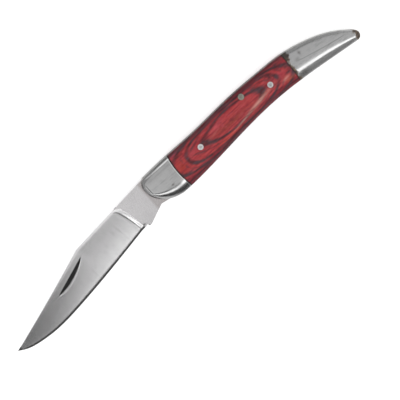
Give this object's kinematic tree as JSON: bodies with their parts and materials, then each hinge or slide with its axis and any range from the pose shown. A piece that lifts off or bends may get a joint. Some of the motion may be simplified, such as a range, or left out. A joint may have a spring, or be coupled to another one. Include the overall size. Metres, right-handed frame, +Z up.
{
  "type": "folding pocket knife",
  "caption": "Slender slip-joint folding knife: a clip blade on a pivot, a back spring between liners, wooden scales and metal bolsters, folding into the handle.",
  "frame": {"origin": "under the middle of the open knife's outline, on the plane that its reverse side rests on", "axes": "+X from the blade tip to the handle's tail, +Y toward the back of the handle and the blade's spine, +Z up out of the side that has the nail nick"},
  "size_m": [0.1582, 0.02, 0.0097],
  "materials": {
    "blade_steel": "satin hollow grind with fine cross brushing, polished tang",
    "spring_steel": "ground",
    "liner_steel": "ground",
    "bolster_metal": "buffed along the knife, small rust marks",
    "red_wood": "dyed laminated hardwood, red with dark contour lines, satin lacquer",
    "pin_metal": "filed flush",
    "spring_pin_brass": "filed flush, dull"
  },
  "bodies": {
    "handle": {"back_spring": "spring_steel", "pivot_pin": "bolster_metal", "spring_pin": "spring_pin_brass", "end_pin": "bolster_metal", "liner_mark": "liner_steel", "liner_reverse": "liner_steel", "front_bolster_mark": "bolster_metal", "front_bolster_reverse": "bolster_metal", "scale_mark": "red_wood", "scale_reverse": "red_wood", "rear_bolster_mark": "bolster_metal", "rear_bolster_reverse": "bolster_metal", "scale_pin_front_mark": "pin_metal", "scale_pin_front_reverse": "pin_metal", "scale_pin_rear_mark": "pin_metal", "scale_pin_rear_reverse": "pin_metal", "bolster_pin_front_mark": "bolster_metal", "bolster_pin_front_reverse": "bolster_metal", "bolster_pin_rear_mark": "bolster_metal", "bolster_pin_rear_reverse": "bolster_metal"},
    "blade": {"blade": "blade_steel"}
  },
  "joints": [
    {"name": "blade_fold", "type": "hinge", "parent": "handle", "child": "blade", "pos_m": [-0.0045, 0.00297, 0.00485], "axis": [0, 0, 1], "range_deg": [0, 168], "deforming": ["back_spring"]}
  ]
}
